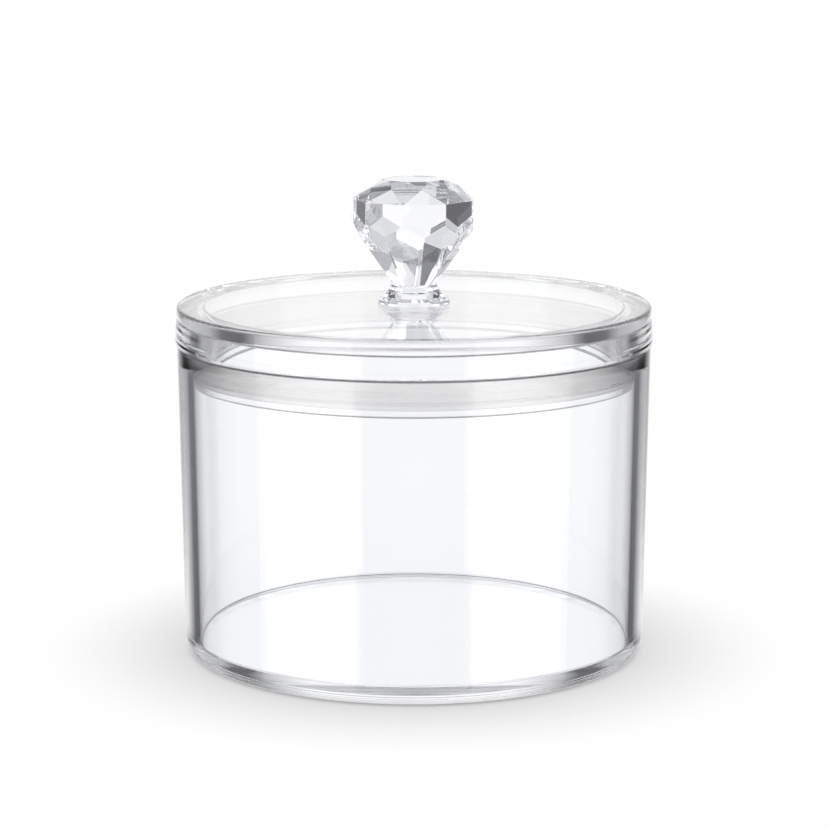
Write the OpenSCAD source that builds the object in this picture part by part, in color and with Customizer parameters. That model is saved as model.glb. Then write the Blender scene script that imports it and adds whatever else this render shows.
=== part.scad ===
// Clear round storage jar with a plug lid, a soft seal ring and a faceted knob.
// The jar stands on z = 0 with its axis on the Z axis. All sizes are in millimetres.

/* [Jar] */
// Height of the jar from the table to its rim
jar_h = 79.4; // [60:0.1:160]
// Outer diameter of the jar at its rim
rim_d = 120; // [90:0.5:180]
// How much narrower the jar is above its base edge than at its rim
taper = 2.5; // [0:0.1:10]
// Thickness of the side wall
wall_t = 3.5; // [3:0.1:6]
// Thickness of the floor
floor_t = 4.2; // [3.5:0.1:8]
// Radius of the outer edge at the base
base_edge_r = 3.2; // [1:0.1:3.4]
// Radius of the inner corner between wall and floor
floor_corner_r = 0.9; // [0.5:0.1:4]
// Thickness that is left at the rim, where the mouth flares open
rim_t = 1.9; // [1.4:0.1:2.8]
// Height over which the mouth flares open
mouth_h = 5; // [3:0.1:7]

/* [Lid] */
// Height of the lid's side above the rim of the jar
side_h = 9.7; // [7:0.1:20]
// Thickness of the lid's top
lid_top_t = 4.4; // [3:0.1:6]
// Overhang of the lid's side past the rim of the jar
overhang = 0.5; // [0:0.1:3]
// Inward lean of the lid's side from bottom to top
side_lean = 0.5; // [0:0.1:2]
// Radius of the lid's upper edge
top_edge_r = 1; // [0.4:0.1:2]
// Radius of the lid's lower edge
lower_edge_r = 0.4; // [0.1:0.1:1]
// Depth of the plug below the rim of the jar
plug_depth = 9.4; // [8:0.1:15]
// Thickness of the plug's wall behind the seal
plug_t = 1.5; // [1.2:0.1:4]
// Height of the lip that keeps the seal on the plug
lip_h = 1.9; // [1.2:0.1:3]
// Gap between the lip and the jar's wall
lip_gap = 0.55; // [0.3:0.05:0.8]

/* [Seal ring] */
// Thickness of the seal between plug and jar
seal_t = 1.25; // [1:0.05:3]
// Running gap between the seal and the jar's wall
seal_gap = 0.25; // [0.15:0.05:0.6]
// Free height between the seal and the underside of the lid's side
seal_play = 0.15; // [0:0.05:0.5]
// Depth of the groove that runs round the seal
groove_d = 0.35; // [0.1:0.05:0.6]
// Height of the groove's middle above the seal's lower edge
groove_at = 1.6; // [1:0.1:3]

/* [Knob] */
// Number of sides of the cut stone
stone_sides = 9; // [7:1:12]
// Radius of the stone to the corners of its girdle
girdle_r = 15.8; // [14:0.1:18]
// Height of the knob above the lid
knob_h = 31.4; // [26:0.1:45]
// Radius of the flat table on top, to its corners
table_r = 7.8; // [4:0.1:9.5]
// Radius of the ring of corners between table and girdle
star_r = 11.2; // [10:0.1:13]
// Drop from the table to the top of the girdle
crown_h = 4.9; // [3:0.1:7]
// Height of the girdle at its corners
girdle_h = 5.3; // [3:0.1:7]
// Drop from the girdle to the foot of the kite facets' sides
kite_side_h = 5.3; // [3.5:0.1:6]
// Drop from the girdle to the point of the kite facets
kite_point_h = 7; // [6.1:0.1:9]
// Inward run of the kite facets for each millimetre down
kite_slope = 0.62; // [0.5:0.01:0.63]
// Radius of the neck under the stone
neck_r = 5.6; // [4:0.1:6]
// Number of sides of the collar
collar_sides = 16; // [14:1:24]
// Radius of the collar's foot on the lid
foot_r = 9.2; // [8.5:0.1:14]
// Height of the collar's foot
foot_h = 1.1; // [0.5:0.1:2]
// Radius of the collar halfway up its shoulder
shoulder_r = 7.8; // [7.2:0.1:8.4]
// Height of the collar to its lip
shoulder_h = 3.5; // [2.8:0.1:4]
// Radius of the lip round the neck
lip_r = 6.1; // [6.1:0.1:6.8]
// Height of the collar over all
collar_h = 4.6; // [4.3:0.1:6]

/* [Hidden] */
$fn = 128;

// The outer wall leans: its radius at a height, and the bore's radius a wall inside it
rim_r = rim_d / 2;
base_r = rim_r - taper / 2;
wall_lean = (rim_r - base_r) / (jar_h - base_edge_r);
function outer_r(z) = rim_r - wall_lean * (jar_h - z);
function bore_r(z) = outer_r(z) - wall_t;
mouth_r = rim_r - rim_t;
mouth_z = jar_h - mouth_h;
rim_break = 0.3;

// Heights and radii of the lid, worked out from the jar that it closes
lid_r = rim_r + overhang;
lid_top_r = lid_r - side_lean;
lid_z = jar_h + side_h;
plug_z = jar_h - plug_depth;
seat_z = plug_z + lip_h;
seal_r = bore_r(seat_z) - seal_gap;
seat_r = seal_r - seal_t;
hollow_r = seat_r - plug_t;
hollow_z = lid_z - lid_top_t;
plug_lip_r = bore_r(plug_z) - lip_gap;
plug_lip_edge = 0.6;
hollow_edge = 0.5;

// The seal fills the groove of the plug and follows the flare of the mouth
seal_top_z = jar_h - seal_play;
flare_r = mouth_r - seal_gap - (mouth_r - bore_r(mouth_z)) * seal_play / mouth_h;
seal_edge = 0.3;
groove_z = seat_z + groove_at;
groove_w = 0.5;

// How far cuts and fills reach past the surface that they cut
spare = 1;

// The corners of the stone, from the table down to the neck. Each neck facet takes in its part of
// a step to either side.
step_a = 360 / stone_sides;
half_a = step_a / 2;
first_a = 180;
neck_part = 0.34;
neck_a = neck_part * step_a;
table_z = knob_h;
girdle_top_z = table_z - crown_h;
girdle_low_z = girdle_top_z - girdle_h;
star_run = (star_r * cos(half_a) - table_r) / (girdle_r - table_r);
star_z = table_z - crown_h * star_run;
shield_r = girdle_r * cos(half_a);
shield_z = girdle_low_z - (girdle_r - shield_r * cos(half_a)) / kite_slope;
kite_side_z = girdle_low_z - kite_side_h;
kite_side_r = (girdle_r - kite_slope * kite_side_h) / cos(half_a);
kite_point_z = girdle_low_z - kite_point_h;
kite_point_r = girdle_r - kite_slope * kite_point_h;
neck_rise = 0.4;
root_h = 2;

// The two bends of the collar's shoulder, as parts of its rise, and the lip's edge
low_bend_part = 0.3;
high_bend_part = 0.8;
lip_edge = 0.2;

// A ring of corners at one height, each turned from the middle of its side by an angle
function ring(r, z, turn) = [
    for (k = [0 : stone_sides - 1])
        let (a = first_a + k * step_a + turn) [r * cos(a), r * sin(a), z]
];

// What is cut off a sharp outer corner at [x, z] to round it: up is 1 at an upper edge
// and -1 at a lower one
module edge_cut(x, z, r, up) {
    translate([x - r, z - up * r])
    difference() {
        translate([0, up > 0 ? 0 : -r - spare]) square(r + spare);
        circle(r);
    }
}

// Half section of the jar as a full block, with its rounded base edge and broken rim edge
module jar_outer_section() {
    difference() {
        polygon([
            [0, 0],
            [base_r, 0],
            [base_r, base_edge_r],
            [outer_r(jar_h - rim_break), jar_h - rim_break],
            [rim_r - rim_break, jar_h],
            [0, jar_h]
        ]);
        edge_cut(base_r, 0, base_edge_r, -1);
    }
}

// Half section of the space inside the jar, with its rounded lower corner and flared mouth
module jar_inner_section() {
    corner_z = floor_t + floor_corner_r;
    corner_x = bore_r(corner_z) - floor_corner_r;
    polygon([
        [0, floor_t],
        [corner_x, floor_t],
        [corner_x, corner_z],
        [bore_r(corner_z), corner_z],
        [bore_r(mouth_z), mouth_z],
        [mouth_r, jar_h],
        [mouth_r, jar_h + spare],
        [0, jar_h + spare]
    ]);
    translate([corner_x, corner_z]) intersection() {
        circle(floor_corner_r);
        translate([0, -floor_corner_r]) square(floor_corner_r);
    }
}

module jar() {
    color([0.93, 0.95, 0.97, 0.3])
    difference() {
        rotate_extrude() jar_outer_section();
        rotate_extrude() jar_inner_section();
    }
}

// Half section of the lid: the top, the side, the plug with the lip that carries the seal,
// and the hollow inside the plug
module lid_section() {
    difference() {
        polygon([
            [0, lid_z],
            [lid_top_r, lid_z],
            [lid_top_r, lid_z - top_edge_r],
            [lid_r, jar_h + lower_edge_r],
            [lid_r, jar_h],
            [seat_r, jar_h],
            [seat_r, seat_z],
            [plug_lip_r, seat_z],
            [plug_lip_r, plug_z + plug_lip_edge],
            [plug_lip_r - plug_lip_edge, plug_z],
            [hollow_r, plug_z],
            [hollow_r, hollow_z - hollow_edge],
            [hollow_r - hollow_edge, hollow_z],
            [0, hollow_z]
        ]);
        edge_cut(lid_top_r, lid_z, top_edge_r, 1);
        edge_cut(lid_r, jar_h, lower_edge_r, -1);
    }
}

module lid() {
    color([0.93, 0.95, 0.97, 0.3])
    rotate_extrude() lid_section();
}

module seal_ring() {
    color([0.86, 0.86, 0.84, 0.8])
    rotate_extrude()
    difference() {
        polygon([
            [seat_r, seat_z],
            [seal_r - seal_edge, seat_z],
            [seal_r, seat_z + seal_edge],
            [bore_r(mouth_z) - seal_gap, mouth_z],
            [flare_r, seal_top_z - seal_edge],
            [flare_r - seal_edge, seal_top_z],
            [seat_r, seal_top_z]
        ]);
        translate([bore_r(groove_z) - seal_gap, groove_z]) polygon([
            [-groove_d, 0],
            [spare, -groove_w - spare * groove_w / groove_d],
            [spare, groove_w + spare * groove_w / groove_d]
        ]);
    }
}

// The cut stone: star, kite and girdle facets above, kites and long neck facets below
module stone() {
    n = stone_sides;
    corners = concat(
        ring(table_r, table_z, 0),
        ring(star_r, star_z, half_a),
        ring(girdle_r, girdle_top_z, 0),
        ring(girdle_r, girdle_low_z, 0),
        ring(shield_r, shield_z, half_a),
        ring(kite_side_r, kite_side_z, half_a),
        ring(kite_point_r, kite_point_z, 0),
        ring(neck_r, collar_h + neck_rise, -neck_a),
        ring(neck_r, collar_h + neck_rise, neck_a),
        ring(neck_r, collar_h - root_h, -neck_a),
        ring(neck_r, collar_h - root_h, neck_a)
    );
    // Row number of each ring of corners, and the corner at place k in a row
    table = 0; star = 1; top = 2; low = 3; shield = 4; side = 5; point = 6;
    neck_before = 7; neck_after = 8; root_before = 9; root_after = 10;
    function at(row, k) = row * n + (k + n) % n;
    places = [0 : n - 1];
    faces = concat(
        [[for (k = places) at(table, n - 1 - k)]],
        [for (k = places) [at(table, k), at(table, k + 1), at(star, k)]],
        [for (k = places) [at(table, k), at(star, k), at(top, k), at(star, k - 1)]],
        [for (k = places) [at(star, k), at(top, k + 1), at(top, k)]],
        [for (k = places)
            [at(top, k), at(top, k + 1), at(low, k + 1), at(shield, k), at(low, k)]],
        [for (k = places)
            [at(low, k), at(shield, k), at(side, k), at(point, k), at(side, k - 1),
             at(shield, k - 1)]],
        [for (k = places) [at(side, k), at(neck_before, k + 1), at(neck_after, k)]],
        [for (k = places) [at(point, k), at(side, k), at(neck_after, k)]],
        [for (k = places) [at(point, k), at(neck_before, k), at(side, k - 1)]],
        [for (k = places) [at(point, k), at(neck_after, k), at(neck_before, k)]],
        [for (k = places)
            [at(neck_before, k), at(neck_after, k), at(root_after, k), at(root_before, k)]],
        [for (k = places)
            [at(neck_after, k), at(neck_before, k + 1), at(root_before, k + 1), at(root_after, k)]],
        [[for (k = places, row = [root_before, root_after]) at(row, k)]]
    );
    polyhedron(points = corners, faces = faces);
}

// The collar under the stone: rings of the same number of corners, joined by flat facets
module collar() {
    n = collar_sides;
    mid_h = foot_h + (shoulder_h - foot_h) * low_bend_part;
    upper_h = foot_h + (shoulder_h - foot_h) * high_bend_part;
    upper_r = (shoulder_r + lip_r) / 2;
    rings = [
        [foot_r, 0], [foot_r, foot_h], [shoulder_r, mid_h], [upper_r, upper_h],
        [lip_r, shoulder_h], [lip_r, collar_h - lip_edge], [neck_r, collar_h]
    ];
    last = len(rings) - 1;
    corners = [
        for (level = rings, k = [0 : n - 1])
            let (a = -90 + (k + 0.5) * 360 / n)
                [level[0] * cos(a), level[0] * sin(a), level[1]]
    ];
    faces = concat(
        [[for (k = [0 : n - 1]) k]],
        [for (i = [0 : last - 1], k = [0 : n - 1])
            [i * n + k, (i + 1) * n + k, (i + 1) * n + (k + 1) % n, i * n + (k + 1) % n]],
        [[for (k = [0 : n - 1]) last * n + n - 1 - k]]
    );
    polyhedron(points = corners, faces = faces);
}

module knob() {
    color([0.95, 0.96, 0.98, 0.4])
    translate([0, 0, lid_z])
    union() {
        stone();
        collar();
    }
}

jar();
lid();
seal_ring();
knob();
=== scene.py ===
"""Clear round storage jar with a plug lid, a soft seal ring and a faceted knob."""
from math import cos, pi, radians, tan

import bmesh
import bpy
from bpy.props import FloatProperty, FloatVectorProperty, IntProperty, PointerProperty
from mathutils import Matrix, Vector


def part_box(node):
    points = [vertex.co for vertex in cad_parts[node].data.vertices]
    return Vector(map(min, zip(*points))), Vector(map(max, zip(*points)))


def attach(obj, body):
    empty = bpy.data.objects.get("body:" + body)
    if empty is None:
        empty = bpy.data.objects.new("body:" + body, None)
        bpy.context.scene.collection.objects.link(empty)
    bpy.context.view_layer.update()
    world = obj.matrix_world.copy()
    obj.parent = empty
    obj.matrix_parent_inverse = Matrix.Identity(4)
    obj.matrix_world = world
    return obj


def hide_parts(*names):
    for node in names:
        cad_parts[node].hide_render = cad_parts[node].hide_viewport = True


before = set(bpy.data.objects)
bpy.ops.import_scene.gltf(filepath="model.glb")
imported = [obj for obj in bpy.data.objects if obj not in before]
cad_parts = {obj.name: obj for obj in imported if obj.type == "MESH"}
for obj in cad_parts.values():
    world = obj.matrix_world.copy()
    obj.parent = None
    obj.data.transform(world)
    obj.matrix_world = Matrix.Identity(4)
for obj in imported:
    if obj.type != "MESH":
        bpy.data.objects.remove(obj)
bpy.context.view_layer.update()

bl_info = {
    "name": "Clear Storage Jar",
    "version": (1, 0, 0),
    "blender": (4, 5, 0),
    "location": "View3D > Sidebar > Jar",
    "description": "Builds a clear storage jar with a plug lid, a seal ring and a faceted knob",
    "category": "Object",
}

MM = 0.001
JAR_BODY = "jar_body"
LID_BODY = "lid_body"
JAR_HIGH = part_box("jar")[1]
LID_LOW, LID_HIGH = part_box("lid")
SEAL_LOW, SEAL_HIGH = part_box("seal_ring")
KNOB_LOW, KNOB_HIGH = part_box("knob")
# Outer radius of the jar's rim and of the lid
RIM_R = JAR_HIGH[0]
LID_R = LID_HIGH[0]
# Steps of a turned piece, and the least distance between two of its corners
STEPS = 320
WELD = 0.001 * MM
# Turned faces that meet at more than this angle keep a sharp edge, and facets of the stone and of
# the whole knob that meet at less than these are one flat facet
SHARP_ANGLE = radians(25)
STONE_FLAT = radians(0.6)
KNOB_FLAT = radians(0.3)
# Sides of the knob's collar, the two bends of its shoulder as parts of its rise, and its film of
# air over the lid
COLLAR_SIDES = 16
LOW_BEND_PART = 0.3
HIGH_BEND_PART = 0.8
AIR_FILM = 0.03 * MM
# The stone meets its neck this far above the collar, and each neck facet takes in its part of a
# step between two sides
NECK_RISE = 0.4 * MM
NECK_PART = 0.34


def length(label, text, default_mm, top_mm):
    """A length property, given in millimetres and kept in metres."""
    return FloatProperty(
        name=label,
        description=text,
        default=default_mm * MM,
        min=0.0,
        max=top_mm * MM,
        precision=5,
        unit="LENGTH",
        subtype="DISTANCE",
    )


def colour(label, text, default):
    """A linear colour property."""
    return FloatVectorProperty(
        name=label, description=text, default=default, min=0.0, max=1.0, size=3, subtype="COLOR"
    )


class JarSizes(bpy.types.PropertyGroup):
    """Sizes of the clear cup."""

    taper: length("Taper", "How much narrower the jar is at its foot than at its rim", 2.5, 10)
    wall: length("Wall", "Thickness of the side wall", 3.5, 6)
    floor: length("Floor", "Thickness of the floor", 4.2, 8)
    base_edge: length("Base edge", "Radius of the outer edge at the base", 3.2, 3.4)
    floor_corner: length("Floor corner", "Radius between the floor and the bore", 0.9, 4)
    rim: length("Rim", "Thickness left at the rim", 1.9, 2.8)
    rim_edge: length("Rim edge", "Radius of the rim's edges", 0.3, 0.6)
    mouth: length("Mouth", "Height over which the mouth flares open", 5, 7)
    seat: length("Seating gap", "Air between the rim and the lid's side", 0.04, 0.2)


class LidSizes(bpy.types.PropertyGroup):
    """Sizes of the lid and its plug."""

    top: length("Top", "Thickness of the lid's top", 4.4, 6)
    lean: length("Lean", "Inward lean of the lid's side", 0.5, 2)
    top_edge: length("Top edge", "Radius of the upper edge", 1.0, 2)
    low_edge: length("Lower edge", "Radius of the lower edge", 0.4, 1)
    lip: length("Lip", "Height of the lip under the seal", 1.9, 3)
    lip_edge: length("Lip edge", "Radius of the lip's lower edge", 0.5, 1)
    plug: length("Plug wall", "Thickness of the plug behind the seal", 1.5, 4)
    lip_gap: length("Lip gap", "Gap between the lip and the bore", 0.55, 0.8)
    hollow_edge: length("Hollow edge", "Radius at the top of the hollow", 0.5, 1)
    fine_edge: length("Fine edge", "Radius of the lip's upper edge and of the plug's foot", 0.15, 0.5)


class SealSizes(bpy.types.PropertyGroup):
    """Sizes of the soft seal ring."""

    thick: length("Thickness", "Thickness of the seal", 1.25, 3)
    gap: length("Gap", "Running gap to the bore", 0.25, 0.6)
    edge: length("Edge", "Radius of the seal's edges", 0.25, 0.5)
    groove: length("Groove", "Depth of the groove round the seal", 0.35, 0.6)
    groove_at: length("Groove height", "Height of the groove above the seal's foot", 1.6, 3)
    groove_half: length("Groove half width", "Half the height of the groove", 0.5, 1)
    groove_edge: length("Groove edge", "Radius at the bottom of the groove", 0.2, 0.4)
    film: length("Film", "Air between the seal and the lid", 0.03, 0.1)


class KnobSizes(bpy.types.PropertyGroup):
    """Sizes of the cut stone and its collar."""

    sides: IntProperty(name="Sides", description="Sides of the stone", default=9, min=7, max=12)
    table: length("Table", "Radius of the flat table, to its corners", 7.8, 9.5)
    star: length("Star", "Radius of the corners between table and girdle", 11.2, 13)
    girdle: length("Girdle", "Radius of the girdle's corners", 15.8, 18)
    crown: length("Crown", "Drop from the table to the girdle", 4.9, 7)
    girdle_h: length("Girdle height", "Height of the girdle at its corners", 5.3, 7)
    kite_side: length("Kite side", "Drop from the girdle to the kites' sides", 5.3, 6)
    kite_point: length("Kite point", "Drop from the girdle to the kites' points", 7, 9)
    kite_slope: FloatProperty(
        name="Kite slope", description="Run of the kite facets per drop", default=0.62, max=0.63
    )
    neck: length("Neck", "Radius of the neck under the stone", 5.6, 6)
    collar: length("Collar", "Height of the collar", 4.6, 6)
    foot: length("Collar foot", "Radius of the collar's foot", 9.2, 14)
    foot_h: length("Collar foot height", "Height of the collar's foot", 1.1, 2)
    shoulder: length("Shoulder", "Radius of the collar halfway up its shoulder", 7.8, 8.4)
    shoulder_h: length("Shoulder height", "Height of the collar to its lip", 3.5, 4)
    lip: length("Collar lip", "Radius of the lip round the neck", 6.1, 6.8)
    lip_edge: length("Collar lip edge", "Height of the slope above the lip", 0.2, 0.4)
    cut_edge: length("Cut edge", "Width of the soft edge between facets", 0.13, 0.4)


class Finishes(bpy.types.PropertyGroup):
    """Colours and finish of the clear and soft parts."""

    clear: colour("Clear", "Tint of the clear plastic", (0.985, 0.99, 1.0))
    stone: colour("Stone", "Tint of the cut stone", (0.97, 0.975, 1.0))
    seal: colour("Seal", "Colour of the soft seal", (0.94, 0.925, 0.91))
    ior: FloatProperty(name="IOR", description="Refractive index", default=1.49, min=1.3, max=1.7)


def settings():
    """The scene's jar settings."""
    return bpy.context.scene.jar_settings


class JarSettings(bpy.types.PropertyGroup):
    """All the sizes and finishes of the storage jar."""

    jar: PointerProperty(type=JarSizes)
    lid: PointerProperty(type=LidSizes)
    seal: PointerProperty(type=SealSizes)
    knob: PointerProperty(type=KnobSizes)
    finish: PointerProperty(type=Finishes)


# Materials

# Clear plastic: the scale and the most roughness of its haze, how dark the painted shade at the
# rounded edges is, and the share of a painted shade ring's reach that is fully dark
HAZE_SCALE = 90.0
HAZE = 0.02
PAINTED_EDGE_SHADE = 0.9
SOFT_PAINTED_EDGE_SHADE = 0.5
FULL_SHADE_PART = 0.4
# Near-black colour that the tint runs to in the painted shade at the rounded edges
PAINTED_SHADE_COLOUR = (0.0, 0.0, 0.01, 1.0)
# Reach of the rings of painted shade at the rims, at other edges, at the plug's lip and in the
# floor's corner, and how far in from the foot the base's ring of painted shade lies
RIM_REACH = 0.5 * MM
EDGE_REACH = 0.6 * MM
LIP_REACH = 0.7 * MM
CORNER_REACH = 0.34 * MM
FOOT_RING_IN = 2.6 * MM
# Silicone: its refractive index, its roughness, how much darker its streaks are, their scale and
# how flat they lie, and the scale and depth of its grain
SILICONE_IOR = 1.41
SILICONE_ROUGHNESS = (0.22, 0.32)
STREAK_SHADE = 0.88
STREAK_SCALE = 12.0
STREAK_FLATNESS = 60.0
GRAIN_SCALE = 1500.0
GRAIN_DEPTH = 0.01 * MM
# The middle part of a noise pattern, which its mapping spreads
NOISE_LOW = 0.3
NOISE_HIGH = 0.7


def new_material(name, diffuse):
    """A node material and its principled shader."""
    material = bpy.data.materials.new(name)
    material.use_nodes = True
    material.diffuse_color = (*diffuse, 1.0)
    return material, material.node_tree.nodes["Principled BSDF"]


def add_noise(material, scale, detail, stretch=(1.0, 1.0, 1.0)):
    """A noise pattern that sits still on the piece."""
    nodes = material.node_tree.nodes
    place = nodes.new("ShaderNodeTexCoord")
    fit = nodes.new("ShaderNodeMapping")
    fit.inputs["Scale"].default_value = stretch
    noise = nodes.new("ShaderNodeTexNoise")
    noise.inputs["Scale"].default_value = scale
    noise.inputs["Detail"].default_value = detail
    material.node_tree.links.new(place.outputs["Object"], fit.inputs["Vector"])
    material.node_tree.links.new(fit.outputs["Vector"], noise.inputs["Vector"])
    return noise


def spread(material, source, low, high):
    """Maps a pattern onto a range of values."""
    node = material.node_tree.nodes.new("ShaderNodeMapRange")
    node.inputs["From Min"].default_value = NOISE_LOW
    node.inputs["From Max"].default_value = NOISE_HIGH
    node.inputs["To Min"].default_value = low
    node.inputs["To Max"].default_value = high
    material.node_tree.links.new(source, node.inputs["Value"])
    return node.outputs["Result"]


def add_bump(material, shader, source, distance):
    """Raises the surface along a pattern by a real distance."""
    bump = material.node_tree.nodes.new("ShaderNodeBump")
    bump.inputs["Strength"].default_value = 1.0
    bump.inputs["Distance"].default_value = distance
    material.node_tree.links.new(source, bump.inputs["Height"])
    material.node_tree.links.new(bump.outputs["Normal"], shader.inputs["Normal"])


def link_math(tree, operation, *values):
    """A math node on sockets or numbers."""
    node = tree.nodes.new("ShaderNodeMath")
    node.operation = operation
    for socket, value in zip(node.inputs, values):
        if hasattr(value, "is_linked"):
            tree.links.new(value, socket)
        else:
            socket.default_value = value
    return node.outputs[0]


def painted_edge_shade(tree, rings):
    """How much of the tint is left near the rounded edges, which painted shade darkens: [radius,
    height, reach, darkness] rings.
    """
    place = tree.nodes.new("ShaderNodeTexCoord")
    split = tree.nodes.new("ShaderNodeSeparateXYZ")
    tree.links.new(place.outputs["Object"], split.inputs["Vector"])
    across = link_math(tree, "MULTIPLY", split.outputs["X"], split.outputs["X"])
    squared = link_math(tree, "MULTIPLY_ADD", split.outputs["Y"], split.outputs["Y"], across)
    radius = link_math(tree, "SQRT", squared)
    unshaded_part = 1.0
    for ring_r, ring_z, reach, darkness in rings:
        off_r = link_math(tree, "SUBTRACT", radius, ring_r)
        off_z = link_math(tree, "SUBTRACT", split.outputs["Z"], ring_z)
        square_r = link_math(tree, "MULTIPLY", off_r, off_r)
        away = link_math(tree, "SQRT", link_math(tree, "MULTIPLY_ADD", off_z, off_z, square_r))
        fade = tree.nodes.new("ShaderNodeMapRange")
        fade.interpolation_type = "SMOOTHSTEP"
        fade.inputs["From Min"].default_value = FULL_SHADE_PART * reach
        fade.inputs["From Max"].default_value = reach
        fade.inputs["To Min"].default_value = 1.0 - darkness
        tree.links.new(away, fade.inputs["Value"])
        unshaded_part = link_math(tree, "MULTIPLY", fade.outputs["Result"], unshaded_part)
    return unshaded_part


def clear_plastic(name, tint, rings=()):
    """Polished clear acrylic with the faint haze of a moulded surface, and painted shade at the
    rounded edges that rings name.
    """
    material, shader = new_material(name, tint)
    shader.inputs["Base Color"].default_value = (*tint, 1.0)
    # Painted shade: near each ring the tint runs to a near-black colour
    if rings:
        mix = material.node_tree.nodes.new("ShaderNodeMix")
        mix.data_type = "RGBA"
        mix.inputs["A"].default_value = PAINTED_SHADE_COLOUR
        mix.inputs["B"].default_value = (*tint, 1.0)
        material.node_tree.links.new(painted_edge_shade(material.node_tree, rings), mix.inputs["Factor"])
        material.node_tree.links.new(mix.outputs["Result"], shader.inputs["Base Color"])
    shader.inputs["Transmission Weight"].default_value = 1.0
    shader.inputs["IOR"].default_value = settings().finish.ior
    haze = add_noise(material, HAZE_SCALE, 3.0)
    link = material.node_tree.links.new
    link(spread(material, haze.outputs["Fac"], 0.0, HAZE), shader.inputs["Roughness"])
    return material


def soft_silicone(name, tint):
    """Translucent silicone: light passes through a satin skin with faint flat streaks."""
    material, shader = new_material(name, tint)
    shader.inputs["IOR"].default_value = SILICONE_IOR
    shader.inputs["Transmission Weight"].default_value = 1.0
    streaks = add_noise(material, STREAK_SCALE, 3.0, (1.0, 1.0, STREAK_FLATNESS))
    mix = material.node_tree.nodes.new("ShaderNodeMix")
    mix.data_type = "RGBA"
    mix.inputs["A"].default_value = (*(STREAK_SHADE * part for part in tint), 1.0)
    mix.inputs["B"].default_value = (*tint, 1.0)
    link = material.node_tree.links.new
    link(spread(material, streaks.outputs["Fac"], 0.0, 1.0), mix.inputs["Factor"])
    link(mix.outputs["Result"], shader.inputs["Base Color"])
    rough = spread(material, streaks.outputs["Fac"], *SILICONE_ROUGHNESS)
    link(rough, shader.inputs["Roughness"])
    grain = add_noise(material, GRAIN_SCALE, 2.0)
    add_bump(material, shader, grain.outputs["Fac"], GRAIN_DEPTH)
    return material


# Turned pieces

def profile(bm, corners, close=False):
    """A wire through [radius, height] corners, in the half-plane of +X."""
    points = [bm.verts.new((r, 0.0, z)) for r, z, *_ in corners]
    for first, second in zip(points, points[1:]):
        bm.edges.new((first, second))
    if close:
        bm.edges.new((points[-1], points[0]))
    return points


def round_corners(bm, corners, points, segments):
    """Rounds each profile corner that names a radius, as the third of its values."""
    for corner, point in zip(corners, points):
        if len(corner) < 3:
            continue
        arms = [(edge.other_vert(point).co - point.co).normalized() for edge in point.link_edges]
        reach = corner[2] / tan(arms[0].angle(arms[1]) / 2)
        bmesh.ops.bevel(
            bm,
            geom=[point],
            offset=reach,
            offset_type="OFFSET",
            affect="VERTICES",
            segments=segments,
            profile=0.5,
            material=-1,
        )


def turn(corners, close=False, segments=8):
    """A solid of revolution from [radius, height] corners, some with a rounding radius."""
    bm = bmesh.new()
    points = profile(bm, corners, close)
    round_corners(bm, corners, points, segments)
    bmesh.ops.spin(
        bm,
        geom=bm.verts[:] + bm.edges[:],
        cent=(0.0, 0.0, 0.0),
        axis=(0.0, 0.0, 1.0),
        angle=2 * pi,
        steps=STEPS,
        use_merge=True,
    )
    bmesh.ops.remove_doubles(bm, verts=bm.verts[:], dist=WELD)
    bmesh.ops.recalc_face_normals(bm, faces=bm.faces[:])
    return bm


def add_piece(name, bm, material, body, *nodes, smooth=True):
    """Makes an object of a mesh, gives it its finish and puts it in the CAD node's place."""
    mesh = bpy.data.meshes.new(name)
    bm.to_mesh(mesh)
    bm.free()
    mesh.materials.append(material)
    for face in mesh.polygons:
        face.use_smooth = smooth
    piece = bpy.data.objects.new(name, mesh)
    bpy.context.scene.collection.objects.link(piece)
    if smooth:
        mesh.set_sharp_from_angle(angle=SHARP_ANGLE)
        weights = piece.modifiers.new("Even normals", "WEIGHTED_NORMAL")
        weights.mode = "FACE_AREA"
        weights.weight = 100
        weights.keep_sharp = True
    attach(piece, body)
    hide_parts(*nodes)
    return piece


def bore_radius(z):
    """Radius of the jar's bore at a height."""
    return outer_radius(z) - settings().jar.wall


def outer_radius(z):
    """Radius of the jar's outer wall at a height."""
    jar = settings().jar
    lean = jar.taper / 2 / (JAR_HIGH[2] - jar.base_edge)
    return RIM_R - lean * (JAR_HIGH[2] - z)


class JAR_OT_body(bpy.types.Operator):
    """Make the clear cup"""

    bl_idname = "storage_jar.body"
    bl_label = "Clear jar"
    bl_options = {"REGISTER", "UNDO"}

    def execute(self, context):
        jar = settings().jar
        top = JAR_HIGH[2] - jar.seat
        foot_r = outer_radius(jar.base_edge)
        mouth_z = JAR_HIGH[2] - jar.mouth
        corners = [
            (0.0, 0.0),
            (foot_r, 0.0, jar.base_edge),
            (RIM_R, top, jar.rim_edge),
            (RIM_R - jar.rim, top, jar.rim_edge / 2),
            (bore_radius(mouth_z), mouth_z),
            (bore_radius(jar.floor), jar.floor, jar.floor_corner),
            (0.0, jar.floor),
        ]
        corner_r = bore_radius(jar.floor) - jar.floor_corner / 3
        # Rings of painted shade at the rim, on the base near the foot and in the floor's corner
        rings = [
            (RIM_R, top, RIM_REACH, PAINTED_EDGE_SHADE),
            (foot_r - FOOT_RING_IN, 0.0, EDGE_REACH, PAINTED_EDGE_SHADE),
            (corner_r, jar.floor + jar.floor_corner / 9, CORNER_REACH, PAINTED_EDGE_SHADE),
        ]
        clear = clear_plastic("Clear plastic, jar", settings().finish.clear, rings)
        piece = add_piece("clear_jar", turn(corners), clear, JAR_BODY, "jar")
        return {"FINISHED"}


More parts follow.
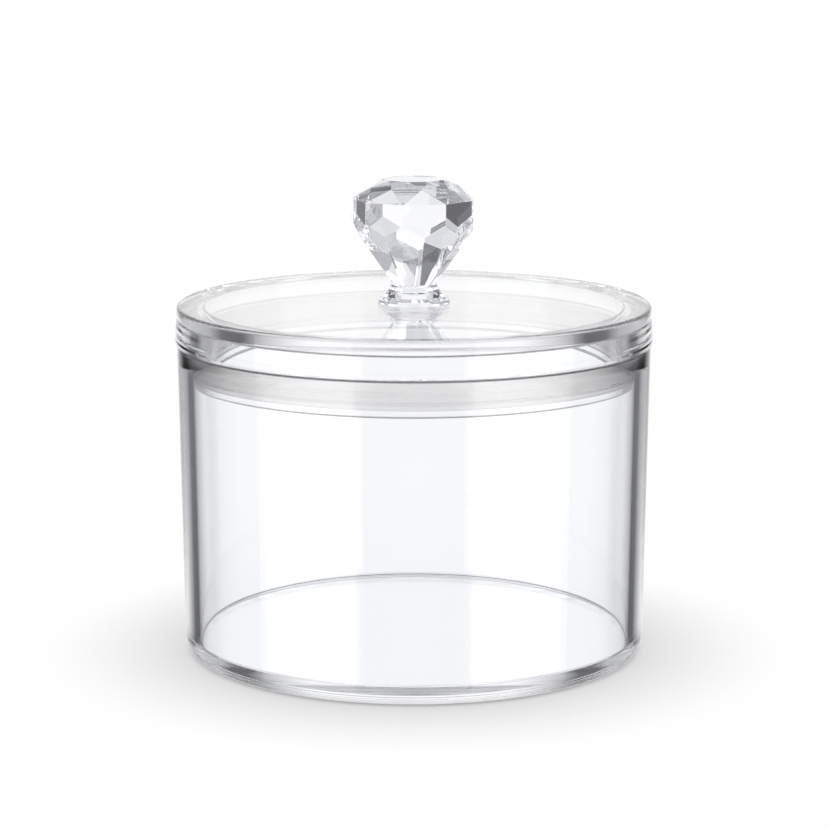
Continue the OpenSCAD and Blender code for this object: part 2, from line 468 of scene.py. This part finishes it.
def lid_heights():
    """Heights of the plug's foot, the seal's seat and the roof of the hollow."""
    lid = settings().lid
    plug_z = LID_LOW[2]
    return plug_z, plug_z + lid.lip, LID_HIGH[2] - lid.top


def seal_radii():
    """Inner and outer radius of the seal at its seat."""
    seal = settings().seal
    outer = bore_radius(lid_heights()[1]) - seal.gap
    return outer - seal.thick, outer


class JAR_OT_lid(bpy.types.Operator):
    """Make the clear lid with its hollow plug"""

    bl_idname = "storage_jar.lid"
    bl_label = "Clear lid"
    bl_options = {"REGISTER", "UNDO"}

    def execute(self, context):
        lid = settings().lid
        plug_z, seat_z, hollow_z = lid_heights()
        rim_z = JAR_HIGH[2]
        seat_r = seal_radii()[0]
        hollow_r = seat_r - lid.plug
        lip_r = bore_radius(plug_z) - lid.lip_gap
        corners = [
            (0.0, LID_HIGH[2]),
            (LID_R - lid.lean, LID_HIGH[2], lid.top_edge),
            (LID_R, rim_z, lid.low_edge),
            (seat_r, rim_z),
            (seat_r, seat_z),
            (lip_r, seat_z, lid.fine_edge),
            (lip_r, plug_z, lid.lip_edge),
            (hollow_r, plug_z, lid.fine_edge),
            (hollow_r, hollow_z, lid.hollow_edge),
            (0.0, hollow_z),
        ]
        # Rings of painted shade at the lower and upper edges, at the top of the hollow and at the lip
        rings = [
            (LID_R, rim_z, RIM_REACH, PAINTED_EDGE_SHADE),
            (LID_R - lid.lean, LID_HIGH[2], EDGE_REACH, SOFT_PAINTED_EDGE_SHADE),
            (hollow_r, hollow_z, EDGE_REACH, PAINTED_EDGE_SHADE),
            (lip_r, plug_z, LIP_REACH, PAINTED_EDGE_SHADE),
        ]
        clear = clear_plastic("Clear plastic, lid", settings().finish.clear, rings)
        piece = add_piece("clear_lid", turn(corners), clear, LID_BODY, "lid")
        return {"FINISHED"}


class JAR_OT_seal(bpy.types.Operator):
    """Make the soft seal ring"""

    bl_idname = "storage_jar.seal"
    bl_label = "Seal ring"
    bl_options = {"REGISTER", "UNDO"}

    def execute(self, context):
        jar = settings().jar
        seal = settings().seal
        inner, outer = seal_radii()
        low = SEAL_LOW[2] + seal.film
        high = SEAL_HIGH[2]
        mouth_z = JAR_HIGH[2] - jar.mouth
        flare = RIM_R - jar.rim - seal.gap
        groove_z = low + seal.groove_at
        corners = [
            (inner + seal.film, low),
            (outer, low, seal.edge),
            (bore_radius(groove_z - seal.groove_half) - seal.gap, groove_z - seal.groove_half),
            (bore_radius(groove_z) - seal.gap - seal.groove, groove_z, seal.groove_edge),
            (bore_radius(groove_z + seal.groove_half) - seal.gap, groove_z + seal.groove_half),
            (bore_radius(mouth_z) - seal.gap, mouth_z),
            (flare, high, seal.edge),
            (inner + seal.film, high),
        ]
        soft = soft_silicone("Soft silicone, seal", settings().finish.seal)
        piece = add_piece("soft_seal", turn(corners, close=True), soft, LID_BODY, "seal_ring")
        return {"FINISHED"}


# The cut stone on its collar

def stone_rings():
    """Radius, height and turn from a corner of each ring of the stone's corners."""
    knob = settings().knob
    half = pi / knob.sides
    neck_turn = NECK_PART * 2 * half
    table_z = KNOB_HIGH[2]
    girdle_top = table_z - knob.crown
    girdle_low = girdle_top - knob.girdle_h
    run = (knob.star * cos(half) - knob.table) / (knob.girdle - knob.table)
    shield_r = knob.girdle * cos(half)
    shield_z = girdle_low - (knob.girdle - shield_r * cos(half)) / knob.kite_slope
    side_r = (knob.girdle - knob.kite_slope * knob.kite_side) / cos(half)
    point_r = knob.girdle - knob.kite_slope * knob.kite_point
    neck_z = KNOB_LOW[2] + knob.collar + NECK_RISE
    return [
        (knob.table, table_z, 0.0),
        (knob.star, table_z - knob.crown * run, half),
        (knob.girdle, girdle_top, 0.0),
        (knob.girdle, girdle_low, 0.0),
        (shield_r, shield_z, half),
        (side_r, girdle_low - knob.kite_side, half),
        (point_r, girdle_low - knob.kite_point, 0.0),
        (knob.neck, neck_z, -neck_turn),
        (knob.neck, neck_z, neck_turn),
    ]


def cut_stone(bm):
    """Adds the stone: a skin over its rings of corners, left open at the neck."""
    sides = settings().knob.sides
    corners = []
    for radius, z, turned in stone_rings():
        place = Matrix.Translation((0.0, 0.0, z)) @ Matrix.Rotation(pi / 2 + turned, 4, "Z")
        ring = bmesh.ops.create_circle(bm, segments=sides, radius=radius, matrix=place)
        corners += ring["verts"]
    bmesh.ops.delete(bm, geom=bm.edges[:], context="EDGES_FACES")
    bmesh.ops.convex_hull(bm, input=corners)
    bmesh.ops.dissolve_limit(bm, angle_limit=STONE_FLAT, verts=bm.verts[:], edges=bm.edges[:])
    cap = min(bm.faces, key=lambda face: face.calc_center_median().z)
    rim = list(cap.edges)
    bmesh.ops.delete(bm, geom=[cap], context="FACES_ONLY")
    return rim


def turn_collar(bm):
    """Adds the collar: a profile turned in flat steps, left open at the neck."""
    knob = settings().knob
    foot = KNOB_LOW[2] + AIR_FILM
    top = foot + knob.collar
    rise = knob.shoulder_h - knob.foot_h
    corners = [
        (0.0, foot),
        (knob.foot, foot),
        (knob.foot, foot + knob.foot_h),
        (knob.shoulder, foot + knob.foot_h + LOW_BEND_PART * rise),
        ((knob.shoulder + knob.lip) / 2, foot + knob.foot_h + HIGH_BEND_PART * rise),
        (knob.lip, foot + knob.shoulder_h),
        (knob.lip, top - knob.lip_edge),
        (knob.neck, top),
    ]
    points = profile(bm, corners)
    start = radians(-90 + 180 / COLLAR_SIDES)
    bmesh.ops.rotate(bm, verts=points, matrix=Matrix.Rotation(start, 3, "Z"))
    edges = {edge for point in points for edge in point.link_edges}
    bmesh.ops.spin(
        bm,
        geom=points + list(edges),
        cent=(0.0, 0.0, 0.0),
        axis=(0.0, 0.0, 1.0),
        angle=2 * pi,
        steps=COLLAR_SIDES,
        use_merge=True,
    )
    bmesh.ops.remove_doubles(bm, verts=bm.verts[:], dist=WELD)
    return [
        edge
        for edge in bm.edges
        if edge.is_boundary and all(abs(end.co.z - top) < 10 * WELD for end in edge.verts)
    ]


class JAR_OT_knob(bpy.types.Operator):
    """Make the cut stone on its collar"""

    bl_idname = "storage_jar.knob"
    bl_label = "Faceted knob"
    bl_options = {"REGISTER", "UNDO"}

    def execute(self, context):
        bm = bmesh.new()
        stone_rim = cut_stone(bm)
        collar_rim = turn_collar(bm)
        bmesh.ops.bridge_loops(bm, edges=stone_rim + collar_rim)
        bmesh.ops.dissolve_limit(bm, angle_limit=KNOB_FLAT, verts=bm.verts[:], edges=bm.edges[:])
        bmesh.ops.recalc_face_normals(bm, faces=bm.faces[:])
        bmesh.ops.bevel(
            bm,
            geom=bm.edges[:],
            offset=settings().knob.cut_edge / 2,
            offset_type="OFFSET",
            affect="EDGES",
            segments=2,
            profile=0.5,
            material=-1,
        )
        clear = clear_plastic("Clear plastic, stone", settings().finish.stone)
        piece = add_piece("cut_knob", bm, clear, LID_BODY, "knob", smooth=False)
        return {"FINISHED"}


# Stage

def add_ramp(tree, source, stops):
    """A grey level that runs through (place, level) stops."""
    node = tree.nodes.new("ShaderNodeValToRGB")
    marks = node.color_ramp.elements
    while len(marks) < len(stops):
        marks.new(0.5)
    for mark, (place, level) in zip(marks, stops):
        mark.position = place
        mark.color = (level, level, level, 1.0)
    tree.links.new(source, node.inputs["Fac"])
    return node.outputs["Color"]


# Levels of the studio round the jar, by the angle from straight behind it as parts of 180
# degrees: a white backdrop, its dark edges, and soft panels and dark gaps beside and behind the
# camera
SEEN_THROUGH = (
    (0.0, 1.02), (0.09, 1.02), (0.11, 0.8), (0.14, 0.55), (0.175, 0.08), (0.215, 0.08),
    (0.25, 0.42), (0.31, 0.55), (0.4, 0.92), (0.52, 0.95), (0.54, 0.12), (0.57, 0.12),
    (0.59, 0.95), (0.66, 0.95), (0.68, 0.4), (0.7, 0.4), (0.72, 0.95), (0.79, 0.95),
    (0.81, 0.4), (0.85, 0.4), (0.88, 0.95), (0.92, 0.95), (0.94, 0.12), (0.97, 0.12), (0.99, 0.95),
)
MIRRORED = (
    (0.0, 1.0), (0.09, 0.97), (0.11, 0.8), (0.14, 0.55), (0.175, 0.08), (0.215, 0.08),
    (0.25, 0.42), (0.31, 0.55), (0.4, 0.9), (0.548, 0.9), (0.552, 1.9), (0.838, 1.9),
    (0.842, 0.75),
)
# Levels by elevation, from straight down to straight up: of the backdrop's left and right half,
# which are dark above the jar, and of the softer rest of the studio
LEFT_HEIGHTS = (
    (0.0, 0.8), (0.3, 0.8), (0.36, 0.85), (0.4, 0.95), (0.418, 0.95),
    (0.423, 1.0), (0.66, 1.0), (0.68, 0.12), (0.84, 0.12), (0.87, 0.7), (1.0, 0.7),
)
RIGHT_HEIGHTS = (
    (0.0, 0.8), (0.3, 0.8), (0.36, 0.85), (0.4, 0.95), (0.418, 0.95),
    (0.423, 1.0), (0.62, 1.0), (0.64, 0.3), (0.68, 0.3), (0.69, 0.6), (0.76, 0.6), (0.78, 0.12),
    (0.84, 0.12), (0.87, 0.7), (1.0, 0.7),
)
ROOM_HEIGHTS = (
    (0.0, 0.95), (0.4, 0.95), (0.43, 1.0), (0.64, 1.0), (0.66, 0.25), (0.79, 0.25),
    (0.81, 0.6), (0.84, 0.6), (0.87, 0.7), (1.0, 0.7),
)
# The least level by elevation: the white floor, which clear parts see from above on every side
FLOOR_SEEN = ((0.0, 0.95), (0.33, 0.95), (0.37, 0.0))
# How much of the contact shadow the foot's rounded edge sees, by distance from the axis in parts
# of the span
CONTACT_SPAN = 0.1
CONTACT_SHADOW = ((0.0, 0.0), (0.572, 0.0), (0.577, 0.6), (0.583, 0.6), (0.59, 0.0))
# The camera, in metres and degrees, and its lens, in millimetres
CAMERA_PLACE = (0.0, -0.7314, 0.2007)
CAMERA_TILT = 79.133
LENS = 126.9
SENSOR = 36.0
# Half the width of the floor, how far it lies under the jar, and how far its shadows reach
FLOOR_HALF = 30.0
FLOOR_DROP = 0.05 * MM
SHADOW_REACH = 38 * MM
# The floor's grey, its level in the deepest shadow and how much more it has in the open, the
# share of that level beside its own lit colour, and the colour of the shadow under the foot
FLOOR_GREY = 0.9
SHADOW_LEVEL = 0.43
OPEN_RISE = 0.62
LEVEL_SHARE = 0.8
CONTACT_COLOUR = (0.12, 0.12, 0.14, 1.0)
# Half the backdrop's width, as part of 180 degrees, and the cool tone of its darks
BACKDROP_HALF = 0.35
DARK_TONE = (0.9, 0.91, 1.0, 1.0)
# Bounces of light, enough for what passes through all the clear walls
BOUNCES = 32


def studio_world():
    """White for the camera; clear parts see a white backdrop with dark edges, and panels."""
    world = bpy.data.worlds.new("Studio")
    bpy.context.scene.world = world
    world.use_nodes = True
    tree = world.node_tree
    tree.nodes.clear()
    link = tree.links.new
    out = tree.nodes.new("ShaderNodeOutputWorld")
    light = tree.nodes.new("ShaderNodeBackground")
    path = tree.nodes.new("ShaderNodeLightPath")
    place = tree.nodes.new("ShaderNodeTexCoord")
    split = tree.nodes.new("ShaderNodeSeparateXYZ")
    link(place.outputs["Generated"], split.inputs["Vector"])
    turned = link_math(tree, "ARCTAN2", split.outputs["X"], split.outputs["Y"])
    around = link_math(tree, "ABSOLUTE", link_math(tree, "DIVIDE", turned, pi))
    height = link_math(tree, "ARCSINE", split.outputs["Z"])
    height = link_math(tree, "ADD", link_math(tree, "DIVIDE", height, pi), 0.5)
    levels = tree.nodes.new("ShaderNodeMix")
    link(path.outputs["Is Glossy Ray"], levels.inputs["Factor"])
    link(add_ramp(tree, around, SEEN_THROUGH), levels.inputs["A"])
    link(add_ramp(tree, around, MIRRORED), levels.inputs["B"])
    backdrop = tree.nodes.new("ShaderNodeMix")
    link(link_math(tree, "GREATER_THAN", turned, 0.0), backdrop.inputs["Factor"])
    link(add_ramp(tree, height, LEFT_HEIGHTS), backdrop.inputs["A"])
    link(add_ramp(tree, height, RIGHT_HEIGHTS), backdrop.inputs["B"])
    heights = tree.nodes.new("ShaderNodeMix")
    link(link_math(tree, "GREATER_THAN", around, BACKDROP_HALF), heights.inputs["Factor"])
    link(backdrop.outputs["Result"], heights.inputs["A"])
    link(add_ramp(tree, height, ROOM_HEIGHTS), heights.inputs["B"])
    level = link_math(tree, "MULTIPLY", levels.outputs["Result"], heights.outputs["Result"])
    level = link_math(tree, "MAXIMUM", level, add_ramp(tree, height, FLOOR_SEEN))
    plain = tree.nodes.new("ShaderNodeMix")
    seen_clear = link_math(
        tree, "MAXIMUM", path.outputs["Is Glossy Ray"], path.outputs["Is Transmission Ray"]
    )
    link(seen_clear, plain.inputs["Factor"])
    plain.inputs["A"].default_value = 1.0
    link(level, plain.inputs["B"])
    link(plain.outputs["Result"], light.inputs["Strength"])
    tone = tree.nodes.new("ShaderNodeMix")
    tone.data_type = "RGBA"
    tone.inputs["A"].default_value = DARK_TONE
    tone.inputs["B"].default_value = (1.0, 1.0, 1.0, 1.0)
    link(plain.outputs["Result"], tone.inputs["Factor"])
    link(tone.outputs["Result"], light.inputs["Color"])
    link(light.outputs["Background"], out.inputs["Surface"])


def floor_material():
    """White floor with the jar's soft shadow; the clear parts see the studio through it."""
    material, shader = new_material("White floor", (1.0, 1.0, 1.0))
    tree = material.node_tree
    link = tree.links.new
    out = tree.nodes["Material Output"]
    shader.inputs["Base Color"].default_value = (FLOOR_GREY, FLOOR_GREY, FLOOR_GREY, 1.0)
    shader.inputs["Roughness"].default_value = 0.9
    shader.inputs["Specular IOR Level"].default_value = 0.0
    near = tree.nodes.new("ShaderNodeAmbientOcclusion")
    near.inputs["Distance"].default_value = SHADOW_REACH
    glow = tree.nodes.new("ShaderNodeEmission")
    level = link_math(tree, "MULTIPLY_ADD", near.outputs["AO"], OPEN_RISE, SHADOW_LEVEL)
    link(level, glow.inputs["Strength"])
    lit = tree.nodes.new("ShaderNodeMixShader")
    lit.inputs["Fac"].default_value = LEVEL_SHARE
    link(shader.outputs["BSDF"], lit.inputs[1])
    link(glow.outputs["Emission"], lit.inputs[2])
    place = tree.nodes.new("ShaderNodeTexCoord")
    reach = tree.nodes.new("ShaderNodeVectorMath")
    reach.operation = "LENGTH"
    link(place.outputs["Object"], reach.inputs[0])
    reach = link_math(tree, "MULTIPLY", reach.outputs["Value"], 1.0 / CONTACT_SPAN)
    dark = tree.nodes.new("ShaderNodeEmission")
    dark.inputs["Color"].default_value = CONTACT_COLOUR
    clear = tree.nodes.new("ShaderNodeMixShader")
    link(add_ramp(tree, reach, CONTACT_SHADOW), clear.inputs["Fac"])
    link(tree.nodes.new("ShaderNodeBsdfTransparent").outputs["BSDF"], clear.inputs[1])
    link(dark.outputs["Emission"], clear.inputs[2])
    path = tree.nodes.new("ShaderNodeLightPath")
    choose = tree.nodes.new("ShaderNodeMixShader")
    seen_clear = link_math(
        tree, "MAXIMUM", path.outputs["Is Glossy Ray"], path.outputs["Is Transmission Ray"]
    )
    link(seen_clear, choose.inputs["Fac"])
    link(lit.outputs["Shader"], choose.inputs[1])
    link(clear.outputs["Shader"], choose.inputs[2])
    link(choose.outputs["Shader"], out.inputs["Surface"])
    return material


class JAR_OT_stage(bpy.types.Operator):
    """Make the floor, the studio light and the camera"""

    bl_idname = "storage_jar.stage"
    bl_label = "Stage"
    bl_options = {"REGISTER", "UNDO"}

    def execute(self, context):
        bm = bmesh.new()
        bmesh.ops.create_grid(bm, x_segments=1, y_segments=1, size=FLOOR_HALF)
        bmesh.ops.translate(bm, verts=bm.verts[:], vec=(0.0, 0.0, -FLOOR_DROP))
        mesh = bpy.data.meshes.new("floor")
        bm.to_mesh(mesh)
        bm.free()
        mesh.materials.append(floor_material())
        floor = bpy.data.objects.new("floor", mesh)
        context.scene.collection.objects.link(floor)
        studio_world()
        cycles = context.scene.cycles
        cycles.max_bounces = cycles.transmission_bounces = cycles.glossy_bounces = BOUNCES
        view = context.scene.view_settings
        view.view_transform = "Standard"
        lens = bpy.data.cameras.new("Camera")
        lens.lens = LENS
        lens.sensor_width = SENSOR
        camera = bpy.data.objects.new("Camera", lens)
        camera.location = CAMERA_PLACE
        camera.rotation_euler = (radians(CAMERA_TILT), 0.0, 0.0)
        context.scene.collection.objects.link(camera)
        context.scene.camera = camera
        return {"FINISHED"}


class JAR_PT_sidebar(bpy.types.Panel):
    """Buttons and sizes of the storage jar"""

    bl_label = "Storage jar"
    bl_idname = "JAR_PT_sidebar"
    bl_space_type = "VIEW_3D"
    bl_region_type = "UI"
    bl_category = "Jar"

    def draw(self, context):
        for step in OPERATORS:
            self.layout.operator(step.bl_idname, text=step.bl_label)
        for group in ("jar", "lid", "seal", "knob", "finish"):
            box = self.layout.box()
            box.label(text=group.capitalize())
            owner = getattr(context.scene.jar_settings, group)
            for field in owner.bl_rna.properties.keys():
                if field not in {"rna_type", "name"}:
                    box.prop(owner, field)


GROUPS = (JarSizes, LidSizes, SealSizes, KnobSizes, Finishes, JarSettings)
OPERATORS = (JAR_OT_stage, JAR_OT_body, JAR_OT_lid, JAR_OT_seal, JAR_OT_knob)


def register():
    for kind in (*GROUPS, *OPERATORS, JAR_PT_sidebar):
        bpy.utils.register_class(kind)
    bpy.types.Scene.jar_settings = PointerProperty(type=JarSettings)


def unregister():
    del bpy.types.Scene.jar_settings
    for kind in reversed((*GROUPS, *OPERATORS, JAR_PT_sidebar)):
        bpy.utils.unregister_class(kind)


def main():
    """Builds the jar on its stage."""
    register()
    bpy.ops.storage_jar.stage()
    bpy.ops.storage_jar.body()
    bpy.ops.storage_jar.lid()
    bpy.ops.storage_jar.seal()
    bpy.ops.storage_jar.knob()


if __name__ == "__main__":
    main()
